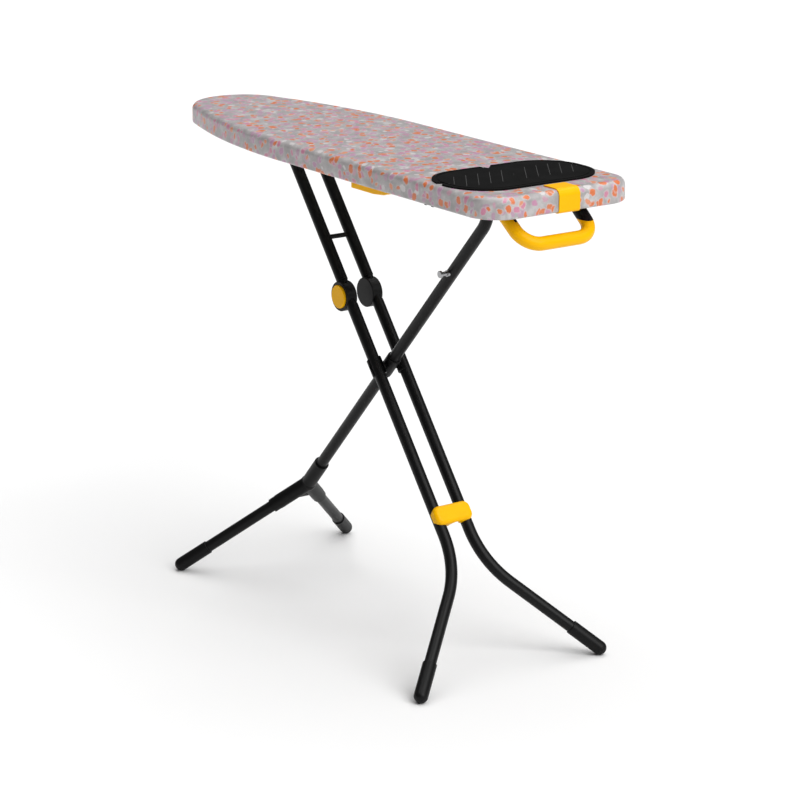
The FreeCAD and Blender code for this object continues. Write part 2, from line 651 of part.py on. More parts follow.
def y_hub():
    """Moulded Y piece with three stepped sockets and a web in its crotch."""
    hub = rear(HUB_S)
    parts = [rod(rear(TWIN_BEND_S), hub, SOCKET_R), Part.makeSphere(SOCKET_R + 1.5, hub)]
    bores = [rod(rear(TWIN_BEND_S - 5), rear(HUB_S - 30.0), TUBE_R)]
    crotch = [rear(HUB_S, 0, -5.0)]
    for side in (1, -1):
        start, foot = rear_branch(side)
        end = start + (foot - start).normalize() * 86.0
        parts.append(rod(start, end, SOCKET_R - 0.6))
        parts.append(rod(start, start + (foot - start).normalize() * 72.0, SOCKET_R))
        bores.append(rod(start + (foot - start).normalize() * 34.0, foot, TUBE_R))
        web = start + (foot - start).normalize() * 58.0
        crotch.append(web + (rear(0, 0, -5.0) - rear(0)))
    parts.append(prism(crotch, rear(0, 0, 10.0) - rear(0)))
    body = parts[0].fuse(parts[1:]).removeSplitter()
    return body.cut(Part.makeCompound([bores[0]])).cut(bores[1]).cut(bores[2])


def rear_foot_tube(side):
    """Splayed tube from the Y piece to a rear foot."""
    hub, foot = rear_branch(side)
    a = hub + (foot - hub).normalize() * 34.0
    b = along(hub, foot, 6.0)
    return rod(a, b, TUBE_R).cut(rod(a, b, TUBE_R - TUBE_WALL))


def rear_foot(side):
    """Foot of one splayed rear tube."""
    hub, foot = rear_branch(side)
    return foot_cap(hub, foot, along(hub, foot, 6.0))


def stud():
    """Spool-headed stud on the cross leg's near side."""
    p = rear(-STUD_S)
    body = bar_y(p.x, p.z, -9.0, -14.0, 6.0)
    body = body.fuse([bar_y(p.x, p.z, -14.0, -26.0, 4.0), bar_y(p.x, p.z, -26.0, -30.0, 6.5)])
    body = body.removeSplitter()
    body = body.makeFillet(1.0, [e for e in body.Edges if abs(e.CenterOfMass.y + 30.0) < 0.01])
    return body.cut(rod(rear(-STUD_S - 30), rear(-STUD_S + 30), TUBE_R))


export("fabric_cover", cover())
export("foam_pad", pad())
export("deck_sheet", deck())
export("deck_rim", rim())
export("front_axle", front_axle())
export("fold_catch", fold_catch())
export("lever_hanger_outer", lever_hanger(-104.0, -92.0))
export("lever_hanger_inner", lever_hanger(18.0, 28.0))
export("lever_spring", lever_spring())
export("heel_tab", heel_tab())
export("iron_mat", iron_mat())
handle_core, handle_grip = handle()
export("handle_core", handle_core)
export("handle_grip", handle_grip)
export("handle_screws", handle_screws())
export("deck_rivets", rivets())
export("release_lever", release_lever())
export("lever_shaft", lever_shaft())
export("rack_bar", rack_bar())
export("brace_rod", brace())
export("cross_bolt", cross_bolt())
export("leg_clip", leg_clip())
export("rear_tube", rear_tube())
export("rear_top_plug", rear_top_plug())
export("rear_axle", rear_axle())
export("pivot_block", pivot_block())
export("y_hub", y_hub())
export("latch_stud", stud())
for name, side in SIDES:
    export("front_bracket_" + name, front_bracket(side))
    export("guide_rail_" + name, guide_rail(side))
    export("upper_tube_" + name, upper_tube(side))
    export("top_plug_" + name, top_plug(side))
    export("elbow_housing_" + name, elbow_housing(side))
    export("elbow_pin_" + name, elbow_pin(side))
    export("button_spring_" + name, button_spring(side))
    export("elbow_button_" + name, elbow_button(side))
    export("lower_tube_" + name, lower_tube(side))
    export("elbow_tongue_" + name, elbow_tongue(side))
    export("pivot_saddle_" + name, pivot_saddle(side))
    export("twin_foot_" + name, twin_foot(side))
    export("axle_roller_" + name, axle_roller(side))
    export("rear_foot_tube_" + name, rear_foot_tube(side))
    export("rear_foot_" + name, rear_foot(side))
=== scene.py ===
import json
import math
import random

import bmesh
import bpy
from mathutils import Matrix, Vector
from mathutils.geometry import delaunay_2d_cdt
from mathutils.kdtree import KDTree


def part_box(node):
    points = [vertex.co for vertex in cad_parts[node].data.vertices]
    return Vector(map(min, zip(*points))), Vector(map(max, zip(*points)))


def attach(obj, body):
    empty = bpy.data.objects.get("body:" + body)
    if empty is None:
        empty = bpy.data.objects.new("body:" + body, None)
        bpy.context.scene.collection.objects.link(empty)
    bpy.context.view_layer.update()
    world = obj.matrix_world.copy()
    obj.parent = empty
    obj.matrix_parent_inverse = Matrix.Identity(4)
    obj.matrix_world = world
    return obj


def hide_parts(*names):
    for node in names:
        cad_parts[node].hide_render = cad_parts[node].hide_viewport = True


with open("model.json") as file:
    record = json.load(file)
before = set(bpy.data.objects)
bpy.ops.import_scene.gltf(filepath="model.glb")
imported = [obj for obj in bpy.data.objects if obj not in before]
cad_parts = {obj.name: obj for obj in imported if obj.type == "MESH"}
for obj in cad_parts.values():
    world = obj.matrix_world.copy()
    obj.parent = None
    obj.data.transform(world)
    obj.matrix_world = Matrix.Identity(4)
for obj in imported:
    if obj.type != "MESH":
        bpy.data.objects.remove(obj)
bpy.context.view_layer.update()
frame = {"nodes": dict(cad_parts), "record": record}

MM = 0.001
cover_low, cover_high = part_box("fabric_cover")
HEEL = cover_high.x
NOSE = cover_low.x
HALF = cover_high.y
TOP = cover_high.z
UNDER = cover_low.z
CORNER = 58 * MM
SIDE_END = -76 * MM
FLANK = 1345 * MM
EDGE = 11 * MM
HEM_EDGE = 4 * MM
HEM_WIDTH = 40 * MM
RING_POINTS = 560
CROWN = 2.4 * MM
PRESSED_BY = [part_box("iron_mat"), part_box("heel_tab")]
REST_R = 78 * MM
PRESSED_FADE = 14 * MM
SETTLE_FRAMES = 20
CLOTH_THICKNESS = 1.1 * MM
DECK_MARGIN = 9 * MM
BEAD_MARGIN = 16 * MM
STITCH_INSET = 36 * MM
FLOOR_REACH = 30.0


# ---------------------------------------------------------------- plan of the table

def nose_radius():
    """Radius of the nose arc that meets both flanks smoothly."""
    reach = SIDE_END - NOSE
    return (2 * FLANK * HALF - HALF * HALF - reach * reach) / (2 * FLANK - 2 * reach)


NOSE_R = nose_radius()
THETA = math.asin((SIDE_END - NOSE - NOSE_R) / (FLANK - NOSE_R))


def plan_ring(count):
    """Points round the table's edge, evenly spaced, each with its outward direction."""
    rc = CORNER
    quarter = math.pi / 2
    runs = []
    half_heel = HALF - rc
    runs.append(("line", Vector((HEEL, 0)), Vector((HEEL, half_heel)), Vector((1, 0))))
    runs.append(("arc", Vector((HEEL - rc, HALF - rc)), rc, 0.0, quarter))
    runs.append(("line", Vector((HEEL - rc, HALF)), Vector((SIDE_END, HALF)), Vector((0, 1))))
    runs.append(("arc", Vector((SIDE_END, HALF - FLANK)), FLANK, quarter, quarter + THETA))
    nose_centre = Vector((NOSE + NOSE_R, 0))
    runs.append(("arc", nose_centre, NOSE_R, quarter + THETA, math.pi))
    sizes = []
    for run in runs:
        sizes.append((run[2] - run[1]).length if run[0] == "line" else run[2] * (run[4] - run[3]))
    total = sum(sizes)
    half_count = count // 2
    out = []
    for i in range(half_count + 1):
        left = total * i / half_count
        for run, size in zip(runs, sizes):
            if left <= size + 1e-9:
                break
            left -= size
        t = min(1.0, left / size)
        if run[0] == "line":
            out.append((run[1].lerp(run[2], t), run[3].copy()))
        else:
            angle = run[3] + (run[4] - run[3]) * t
            n = Vector((math.cos(angle), math.sin(angle)))
            out.append((run[1] + n * run[2], n))
    back = [(Vector((p.x, -p.y)), Vector((n.x, -n.y))) for p, n in out[-2:0:-1]]
    return out + back


RING = plan_ring(RING_POINTS)


def smooth_noise(seed, waves, scale):
    """A repeatable wavy function of distance along an edge."""
    draw = random.Random(seed)
    terms = [(draw.uniform(0.6, 1.7) * waves, draw.uniform(0, 6.28), draw.uniform(0.4, 1.0))
             for _ in range(5)]
    total = sum(t[2] for t in terms)
    return lambda u: scale * sum(a * math.sin(f * u + p) for f, p, a in terms) / total


# ---------------------------------------------------------------- helpers for meshes

def piece(name, verts, faces, smooth=True):
    """New object from points and faces, in place."""
    mesh = bpy.data.meshes.new(name)
    mesh.from_pydata([tuple(v) for v in verts], [], faces)
    mesh.validate()
    if smooth:
        mesh.polygons.foreach_set("use_smooth", [True] * len(mesh.polygons))
    mesh.update()
    obj = bpy.data.objects.new(name, mesh)
    bpy.context.scene.collection.objects.link(obj)
    return obj


def outwards(obj):
    """Turn every face of a closed mesh to point out."""
    bm = bmesh.new()
    bm.from_mesh(obj.data)
    bmesh.ops.remove_doubles(bm, verts=bm.verts, dist=1e-6)
    bmesh.ops.recalc_face_normals(bm, faces=bm.faces)
    bm.to_mesh(obj.data)
    bm.free()
    obj.data.update()
    return obj


def apply_modifiers(obj):
    """Replace an object's mesh by its evaluated one and drop the modifiers."""
    depsgraph = bpy.context.evaluated_depsgraph_get()
    depsgraph.update()
    mesh = bpy.data.meshes.new_from_object(obj.evaluated_get(depsgraph))
    obj.modifiers.clear()
    obj.data = mesh
    mesh.name = obj.name
    return obj


def set_smooth(obj):
    """Shade every face of an object smoothly."""
    obj.data.polygons.foreach_set("use_smooth", [True] * len(obj.data.polygons))
    obj.data.update()


# ---------------------------------------------------------------- materials

def new_material(name):
    """Empty surface material: the material, its nodes, its links and its shader."""
    mat = bpy.data.materials.new(name)
    mat.use_nodes = True
    nodes = mat.node_tree.nodes
    nodes.clear()
    out = nodes.new("ShaderNodeOutputMaterial")
    shader = nodes.new("ShaderNodeBsdfPrincipled")
    mat.node_tree.links.new(shader.outputs["BSDF"], out.inputs["Surface"])
    return mat, nodes, mat.node_tree.links, shader


def ramp(nodes, stops, kind="LINEAR"):
    """Colour ramp through the given stops."""
    node = nodes.new("ShaderNodeValToRGB")
    node.color_ramp.interpolation = kind
    elements = node.color_ramp.elements
    while len(elements) > 1:
        elements.remove(elements[-1])
    elements[0].position, elements[0].color = stops[0][0], (*stops[0][1], 1)
    for at, colour in stops[1:]:
        e = elements.new(at)
        e.color = (*colour, 1)
    return node


def maths(nodes, links, kind, a, b=None, c=None, clamp=False):
    """One arithmetic node on numbers or sockets."""
    node = nodes.new("ShaderNodeMath")
    node.operation = kind
    node.use_clamp = clamp
    for i, value in enumerate((a, b, c)):
        if value is None:
            continue
        if isinstance(value, (int, float)):
            node.inputs[i].default_value = value
        else:
            links.new(value, node.inputs[i])
    return node.outputs[0]


def mix_colour(nodes, links, factor, a, b, kind="MIX"):
    """Blend of two colours."""
    node = nodes.new("ShaderNodeMix")
    node.data_type = "RGBA"
    node.blend_type = kind
    for key, value in ((0, factor), (6, a), (7, b)):
        if isinstance(value, (int, float)):
            node.inputs[key].default_value = value
        elif isinstance(value, tuple):
            node.inputs[key].default_value = (*value, 1)
        else:
            links.new(value, node.inputs[key])
    return node.outputs[2]


def noise(nodes, links, vector, scale, detail=3.0, rough=0.5):
    """Noise texture read at the given coordinates."""
    node = nodes.new("ShaderNodeTexNoise")
    node.inputs["Scale"].default_value = scale
    node.inputs["Detail"].default_value = detail
    node.inputs["Roughness"].default_value = rough
    links.new(vector, node.inputs["Vector"])
    return node


def bump(nodes, links, height, shader, strength, distance):
    """Fine relief on a shader from a height."""
    node = nodes.new("ShaderNodeBump")
    node.inputs["Strength"].default_value = strength
    node.inputs["Distance"].default_value = distance
    links.new(height, node.inputs["Height"])
    links.new(node.outputs["Normal"], shader.inputs["Normal"])
    return node


def coated_metal(name, colour, rough, gleam, lift=0.6):
    """Powder coat: fine orange peel, with slow changes of tone and gloss."""
    mat, nodes, links, shader = new_material(name)
    coord = nodes.new("ShaderNodeTexCoord").outputs["Object"]
    cloud = noise(nodes, links, coord, 14.0, 4.0, 0.6)
    grain = noise(nodes, links, coord, 420.0, 2.0, 0.5)
    pale = tuple(c + (0.05 + c) * lift * 0.25 for c in colour)
    tone = ramp(nodes, [(0.35, colour), (0.75, pale)])
    links.new(cloud.outputs["Fac"], tone.inputs["Fac"])
    links.new(tone.outputs["Color"], shader.inputs["Base Color"])
    gloss = ramp(nodes, [(0.3, (rough - 0.05,) * 3), (0.75, (rough + 0.09,) * 3)])
    links.new(cloud.outputs["Fac"], gloss.inputs["Fac"])
    links.new(gloss.outputs["Color"], shader.inputs["Roughness"])
    shader.inputs["Specular IOR Level"].default_value = gleam
    bump(nodes, links, grain.outputs["Fac"], shader, 0.55, 0.12 * MM)
    return mat


def moulded_plastic(name, colour, rough, gleam):
    """Moulded plastic with a spark-eroded grain and slow tone drift."""
    mat, nodes, links, shader = new_material(name)
    coord = nodes.new("ShaderNodeTexCoord").outputs["Object"]
    drift = noise(nodes, links, coord, 9.0, 3.0, 0.5)
    grain = noise(nodes, links, coord, 1300.0, 2.0, 0.6)
    dark = tuple(c * 0.9 for c in colour)
    tone = ramp(nodes, [(0.3, dark), (0.7, colour)])
    links.new(drift.outputs["Fac"], tone.inputs["Fac"])
    links.new(tone.outputs["Color"], shader.inputs["Base Color"])
    gloss = ramp(nodes, [(0.3, (rough - 0.04,) * 3), (0.8, (rough + 0.07,) * 3)])
    links.new(grain.outputs["Fac"], gloss.inputs["Fac"])
    links.new(gloss.outputs["Color"], shader.inputs["Roughness"])
    shader.inputs["Specular IOR Level"].default_value = gleam
    bump(nodes, links, grain.outputs["Fac"], shader, 0.35, 0.08 * MM)
    return mat


def bright_metal(name, colour, rough, brushed=0.0):
    """Plated or polished steel with fine turning lines."""
    mat, nodes, links, shader = new_material(name)
    coord = nodes.new("ShaderNodeTexCoord").outputs["Object"]
    stretch = nodes.new("ShaderNodeMapping")
    stretch.inputs["Scale"].default_value = (1.0, 12.0, 1.0)
    links.new(coord, stretch.inputs["Vector"])
    lines = noise(nodes, links, stretch.outputs["Vector"], 500.0, 3.0, 0.6)
    spots = noise(nodes, links, coord, 60.0, 4.0, 0.6)
    tone = ramp(nodes, [(0.3, tuple(c * 0.82 for c in colour)), (0.7, colour)])
    links.new(spots.outputs["Fac"], tone.inputs["Fac"])
    links.new(tone.outputs["Color"], shader.inputs["Base Color"])
    gloss = ramp(nodes, [(0.3, (rough,) * 3), (0.8, (rough + 0.12,) * 3)])
    links.new(spots.outputs["Fac"], gloss.inputs["Fac"])
    links.new(gloss.outputs["Color"], shader.inputs["Roughness"])
    shader.inputs["Metallic"].default_value = 1.0
    bump(nodes, links, lines.outputs["Fac"], shader, 0.1 + brushed, 0.00004)
    return mat


def dab_layer(nodes, links, uv, seed, pitch, size, slim):
    """Scattered brush dabs: a mask, a wider halo, a random number per dab and its stroke streaks."""
    place = nodes.new("ShaderNodeMapping")
    place.inputs["Location"].default_value = (seed * 3.17, seed * 1.73, 0)
    place.inputs["Rotation"].default_value = (0, 0, seed * 0.7)
    place.inputs["Scale"].default_value = (1 / pitch, 1 / pitch, 1)
    links.new(uv, place.inputs["Vector"])
    ragged = noise(nodes, links, place.outputs["Vector"], 3.2, 3.0, 0.6)
    wobble = nodes.new("ShaderNodeVectorMath")
    wobble.operation = "MULTIPLY_ADD"
    links.new(ragged.outputs["Color"], wobble.inputs[0])
    wobble.inputs[1].default_value = (0.36, 0.36, 0)
    links.new(place.outputs["Vector"], wobble.inputs[2])
    cells = nodes.new("ShaderNodeTexVoronoi")
    cells.voronoi_dimensions = "2D"
    cells.inputs["Scale"].default_value = 1.0
    cells.inputs["Randomness"].default_value = 0.82
    links.new(wobble.outputs[0], cells.inputs["Vector"])
    offset = nodes.new("ShaderNodeVectorMath")
    offset.operation = "SUBTRACT"
    links.new(wobble.outputs[0], offset.inputs[0])
    links.new(cells.outputs["Position"], offset.inputs[1])
    pick = nodes.new("ShaderNodeSeparateColor")
    links.new(cells.outputs["Color"], pick.inputs["Color"])
    turn = nodes.new("ShaderNodeVectorRotate")
    turn.rotation_type = "Z_AXIS"
    links.new(offset.outputs[0], turn.inputs["Vector"])
    links.new(maths(nodes, links, "MULTIPLY", pick.outputs["Red"], 6.2832), turn.inputs["Angle"])
    squeeze = nodes.new("ShaderNodeVectorMath")
    squeeze.operation = "MULTIPLY"
    links.new(turn.outputs["Vector"], squeeze.inputs[0])
    squeeze.inputs[1].default_value = (1.0, slim, 0)
    length = nodes.new("ShaderNodeVectorMath")
    length.operation = "LENGTH"
    links.new(squeeze.outputs[0], length.inputs[0])
    radius = maths(nodes, links, "MULTIPLY_ADD", pick.outputs["Green"], size * 0.5, size * 0.62)
    inside = maths(nodes, links, "SUBTRACT", radius, length.outputs["Value"])
    mask = maths(nodes, links, "MULTIPLY", inside, 11.0, clamp=True)
    streak_map = nodes.new("ShaderNodeMapping")
    streak_map.inputs["Scale"].default_value = (2.0, 14.0, 1)
    links.new(turn.outputs["Vector"], streak_map.inputs["Vector"])
    streaks = noise(nodes, links, streak_map.outputs["Vector"], 2.0, 2.0, 0.5)
    wider = maths(nodes, links, "ADD", inside, 0.07)
    halo = maths(nodes, links, "MULTIPLY", wider, 9.0, clamp=True)
    return mask, halo, pick.outputs["Blue"], streaks.outputs["Fac"]


def printed_cotton(name):
    """Satin cotton: woven ground with scattered brush dabs, pale ones under strong ones."""
    mat, nodes, links, shader = new_material(name)
    uv_node = nodes.new("ShaderNodeUVMap")
    uv_node.uv_map = "cloth"
    uv = uv_node.outputs["UV"]
    wash = noise(nodes, links, uv, 34.0, 3.0, 0.6)
    ground = ramp(nodes, [(0.36, (0.31, 0.295, 0.295)), (0.52, (0.385, 0.365, 0.365)),
                          (0.68, (0.50, 0.485, 0.48))])
    links.new(wash.outputs["Fac"], ground.inputs["Fac"])
    colour = ground.outputs["Color"]
    pale = [(0.0, (0.44, 0.28, 0.37)), (0.3, (0.52, 0.30, 0.37)), (0.55, (0.50, 0.22, 0.35)),
            (0.8, (0.60, 0.57, 0.57))]
    inks = [(0.0, (0.66, 0.135, 0.010)), (0.32, (0.62, 0.15, 0.026)), (0.46, (0.56, 0.19, 0.30)),
            (0.70, (0.46, 0.24, 0.38)), (0.88, (0.68, 0.24, 0.11))]
    for seed, pitch, size, slim, stops in ((2.0, 0.023, 0.38, 1.4, pale), (5.0, 0.027, 0.33, 1.35, inks),
                                            (9.0, 0.031, 0.28, 1.5, inks)):
        mask, halo, which, streaks = dab_layer(nodes, links, uv, seed, pitch, size, slim)
        ink = ramp(nodes, stops, "CONSTANT")
        links.new(which, ink.inputs["Fac"])
        if stops is inks:
            bleached = maths(nodes, links, "MULTIPLY", halo, 0.45)
            colour = mix_colour(nodes, links, bleached, colour, (0.66, 0.64, 0.64))
        shade = ramp(nodes, [(0.3, (0.86, 0.86, 0.86)), (0.65, (1.06, 1.06, 1.06))])
        links.new(streaks, shade.inputs["Fac"])
        inked = mix_colour(nodes, links, 1.0, ink.outputs["Color"], shade.outputs["Color"], "MULTIPLY")
        cover = maths(nodes, links, "MULTIPLY", mask, 0.94)
        colour = mix_colour(nodes, links, cover, colour, inked)
    links.new(colour, shader.inputs["Base Color"])
    weave = []
    for direction in ("X", "Y"):
        wave = nodes.new("ShaderNodeTexWave")
        wave.bands_direction = direction
        wave.inputs["Scale"].default_value = 300.0
        wave.inputs["Distortion"].default_value = 0.6
        links.new(uv, wave.inputs["Vector"])
        weave.append(wave.outputs["Fac"])
    thread = maths(nodes, links, "ADD", weave[0], weave[1])
    crease = noise(nodes, links, uv, 9.0, 4.0, 0.55)
    height = maths(nodes, links, "MULTIPLY_ADD", crease.outputs["Fac"], 16.0, thread)
    bump(nodes, links, height, shader, 0.5, 0.00012)
    shader.inputs["Roughness"].default_value = 0.36
    shader.inputs["Specular IOR Level"].default_value = 0.75
    shader.inputs["Sheen Weight"].default_value = 0.04
    shader.inputs["Sheen Roughness"].default_value = 0.4
    return mat


def felt(name, colour):
    """Pressed foam felt."""
    mat, nodes, links, shader = new_material(name)
    coord = nodes.new("ShaderNodeTexCoord").outputs["Object"]
    fibre = noise(nodes, links, coord, 700.0, 5.0, 0.7)
    blotch = noise(nodes, links, coord, 30.0, 4.0, 0.6)
    tone = ramp(nodes, [(0.3, tuple(c * 0.85 for c in colour)), (0.7, colour)])
    links.new(blotch.outputs["Fac"], tone.inputs["Fac"])
    links.new(tone.outputs["Color"], shader.inputs["Base Color"])
    shader.inputs["Roughness"].default_value = 0.95
    shader.inputs["Sheen Weight"].default_value = 0.3
    bump(nodes, links, fibre.outputs["Fac"], shader, 0.8, 0.0004)
    return mat


def silicone(name, colour):
    """Matt silicone with a fine pebble and dusty bloom."""
    mat, nodes, links, shader = new_material(name)
    coord = nodes.new("ShaderNodeTexCoord").outputs["Object"]
    dust = noise(nodes, links, coord, 24.0, 5.0, 0.65)
    pebble = noise(nodes, links, coord, 900.0, 2.0, 0.5)
    tone = ramp(nodes, [(0.35, colour), (0.8, tuple(c + 0.006 for c in colour))])
    links.new(dust.outputs["Fac"], tone.inputs["Fac"])
    links.new(tone.outputs["Color"], shader.inputs["Base Color"])
    gloss = ramp(nodes, [(0.3, (0.5,) * 3), (0.75, (0.62,) * 3)])
    links.new(dust.outputs["Fac"], gloss.inputs["Fac"])
    links.new(gloss.outputs["Color"], shader.inputs["Roughness"])
    shader.inputs["Specular IOR Level"].default_value = 0.03
    bump(nodes, links, pebble.outputs["Fac"], shader, 0.4, 0.0001)
    return mat


FINISH = {
    "print": printed_cotton("printed_satin_cotton"),
    "foam": felt("pad_felt", (0.72, 0.70, 0.62)),
    "deck": coated_metal("deck_grey_coat", (0.36, 0.37, 0.38), 0.4, 0.35),
    "bracket": coated_metal("bracket_black_coat", (0.02, 0.02, 0.021), 0.45, 0.2),
    "leg": coated_metal("leg_black_coat", (0.0045, 0.0045, 0.0047), 0.36, 0.17, lift=0.06),
    "black": moulded_plastic("black_moulded_nylon", (0.004, 0.004, 0.0042), 0.42, 0.16),
    "yellow": moulded_plastic("yellow_moulded_plastic", (0.95, 0.485, 0.0), 0.36, 0.12),
    "silicone": silicone("rest_silicone", (0.0045, 0.0045, 0.0045)),
    # painted highlight: the beads are the mat's black silicone coloured pale grey, standing for light
    # caught on their raised tops
    "bead": silicone("rest_silicone_beads_painted_highlight", (0.11, 0.11, 0.11)),
    "steel": bright_metal("zinc_plated_steel", (0.5, 0.5, 0.51), 0.3, 0.1),
    "chrome": bright_metal("polished_chrome", (0.38, 0.38, 0.39), 0.2),
    "thread": felt("hem_thread", (0.78, 0.77, 0.78)),
}

BY_SLOT = {
    "cover_fabric": "print", "pad_foam": "foam", "deck_paint": "deck", "bracket_paint": "bracket",
    "leg_paint": "leg", "black_plastic": "black", "yellow_plastic": "yellow", "mat_silicone": "silicone",
    "plain_steel": "steel", "bright_chrome": "chrome",
}


def dress_cad_nodes():
    """Give every carried-over CAD node its finish."""
    for row in frame["record"]["subparts"]:
        obj = frame["nodes"].get(row["node"])
        if obj is None:
            continue
        mat = FINISH[BY_SLOT[row["material_slot"]]]
        if not obj.material_slots:
            obj.data.materials.append(mat)
        for s in obj.material_slots:
            s.material = mat


# ---------------------------------------------------------------- printed cover

def cover_profile():
    """Distance in from the table's edge, height and cloth distance, from the top round to the hem."""
    steps = [(EDGE + 4 * MM, TOP, -4 * MM)]
    for i in range(9):
        a = math.pi / 2 * i / 8
        steps.append((EDGE - EDGE * math.sin(a), TOP - EDGE + EDGE * math.cos(a), EDGE * a))
    run = EDGE * math.pi / 2
    for z in (TOP - 15 * MM, TOP - 20 * MM, TOP - 25 * MM, TOP - 30 * MM, UNDER + HEM_EDGE):
        steps.append((0.0, z, run + TOP - EDGE - z))
    run = steps[-1][2]
    for i in range(1, 5):
        a = math.pi / 2 * i / 4
        inset, z = HEM_EDGE - HEM_EDGE * math.cos(a), UNDER + HEM_EDGE - HEM_EDGE * math.sin(a)
        steps.append((inset, z, run + HEM_EDGE * a))
    run = steps[-1][2]
    for i in range(1, 8):
        d = (HEM_WIDTH - HEM_EDGE) * i / 7
        steps.append((HEM_EDGE + d, UNDER, run + d))
    return steps


def pressed_flat(x, y):
    """1 where the iron rest or the heel tab holds the cover down, falling to 0 around them."""
    near = 0.0
    for low, high in PRESSED_BY:
        dx = max(low.x - x, 0.0, x - high.x)
        dy = max(low.y - y, 0.0, y - high.y)
        near = max(near, 1.0 - math.hypot(dx, dy) / PRESSED_FADE)
    return max(0.0, near)


def plan_grid(pitch, phase, margin):
    """Staggered points over the table in plan, no nearer its edge than the margin."""
    grid = []
    for ix in range(int((HEEL - NOSE) / pitch) + 1):
        for iy in range(int(2 * HALF / pitch) + 1):
            x = NOSE + pitch * (ix + 0.5 * (iy % 2))
            y = -HALF + pitch * (iy + phase)
            if edge_distance(x, y) > margin:
                grid.append(Vector((x, y)))
    return grid


def coarse_cover():
    """Light copy of the cover's outer skin for the cloth simulation."""
    rows = [(EDGE, TOP), (EDGE * 0.29, TOP - EDGE * 0.29), (0.0, TOP - EDGE)]
    rows += [(0.0, TOP - 20 * MM), (0.0, UNDER)]
    ring = RING[::4]
    count = len(ring)
    verts, faces = [], []
    for inset, z in rows:
        verts += [Vector((*(p - n * inset), z)) for p, n in ring]
    for row in range(len(rows) - 1):
        for i in range(count):
            j = (i + 1) % count
            faces.append((row * count + i, (row + 1) * count + i, (row + 1) * count + j, row * count + j))
    grid = plan_grid(20 * MM, 0.4, EDGE + 12 * MM)
    loop = [(i, (i + 1) % count) for i in range(count)]
    points, _, tris, _, _, _ = delaunay_2d_cdt([v.to_2d() for v in verts[:count]] + grid, loop, [], 1, 1e-7)
    shift = len(verts) - count
    verts += [Vector((p.x, p.y, TOP)) for p in points[count:]]
    faces += [tuple(k if k < count else k + shift for k in t) for t in tris]
    return piece("cover_push_trial", verts, faces)


def settle_cover(obj):
    """Cloth simulation: the foam's push crowns the cover, held by its hem and by what lies on it."""
    scene = bpy.context.scene
    trial = coarse_cover()
    before = [v.co.copy() for v in trial.data.vertices]
    held = trial.vertex_groups.new(name="held_by_hem")
    held.add([i for i, v in enumerate(before) if v.z < UNDER + 2 * MM], 1.0, "REPLACE")
    cloth = trial.modifiers.new("foam_push", "CLOTH")
    settings = cloth.settings
    settings.quality = 4
    settings.mass = 0.2
    settings.tension_stiffness = 25.0
    settings.compression_stiffness = 25.0
    settings.shear_stiffness = 10.0
    settings.bending_stiffness = 0.8
    settings.vertex_group_mass = held.name
    settings.use_pressure = True
    settings.uniform_pressure_force = 4.0
    settings.effector_weights.gravity = 0.0
    cloth.point_cache.frame_start = 1
    cloth.point_cache.frame_end = SETTLE_FRAMES
    for step in range(1, SETTLE_FRAMES + 1):
        scene.frame_set(step)
    apply_modifiers(trial)
    moved = [v.co - rest for v, rest in zip(trial.data.vertices, before)]
    most = max(m.length for m in moved)
    scale = min(1.0, CROWN / most) if most > 0 else 0.0
    tree = KDTree(len(before))
    for i, rest in enumerate(before):
        tree.insert(rest, i)
    tree.balance()
    for vert in obj.data.vertices:
        rest = vert.co.copy()
        push, weight = Vector(), 0.0
        for _, i, gap in tree.find_n(rest, 6):
            share = 1.0 / (gap + 2 * MM) ** 2
            push += moved[i] * share
            weight += share
        hem = max(0.0, min(1.0, (rest.z - UNDER) / (8 * MM)))
        vert.co = rest + push / weight * scale * hem * (1.0 - pressed_flat(rest.x, rest.y))
    obj.data.update()
    scene.frame_set(1)
    bpy.data.objects.remove(trial)


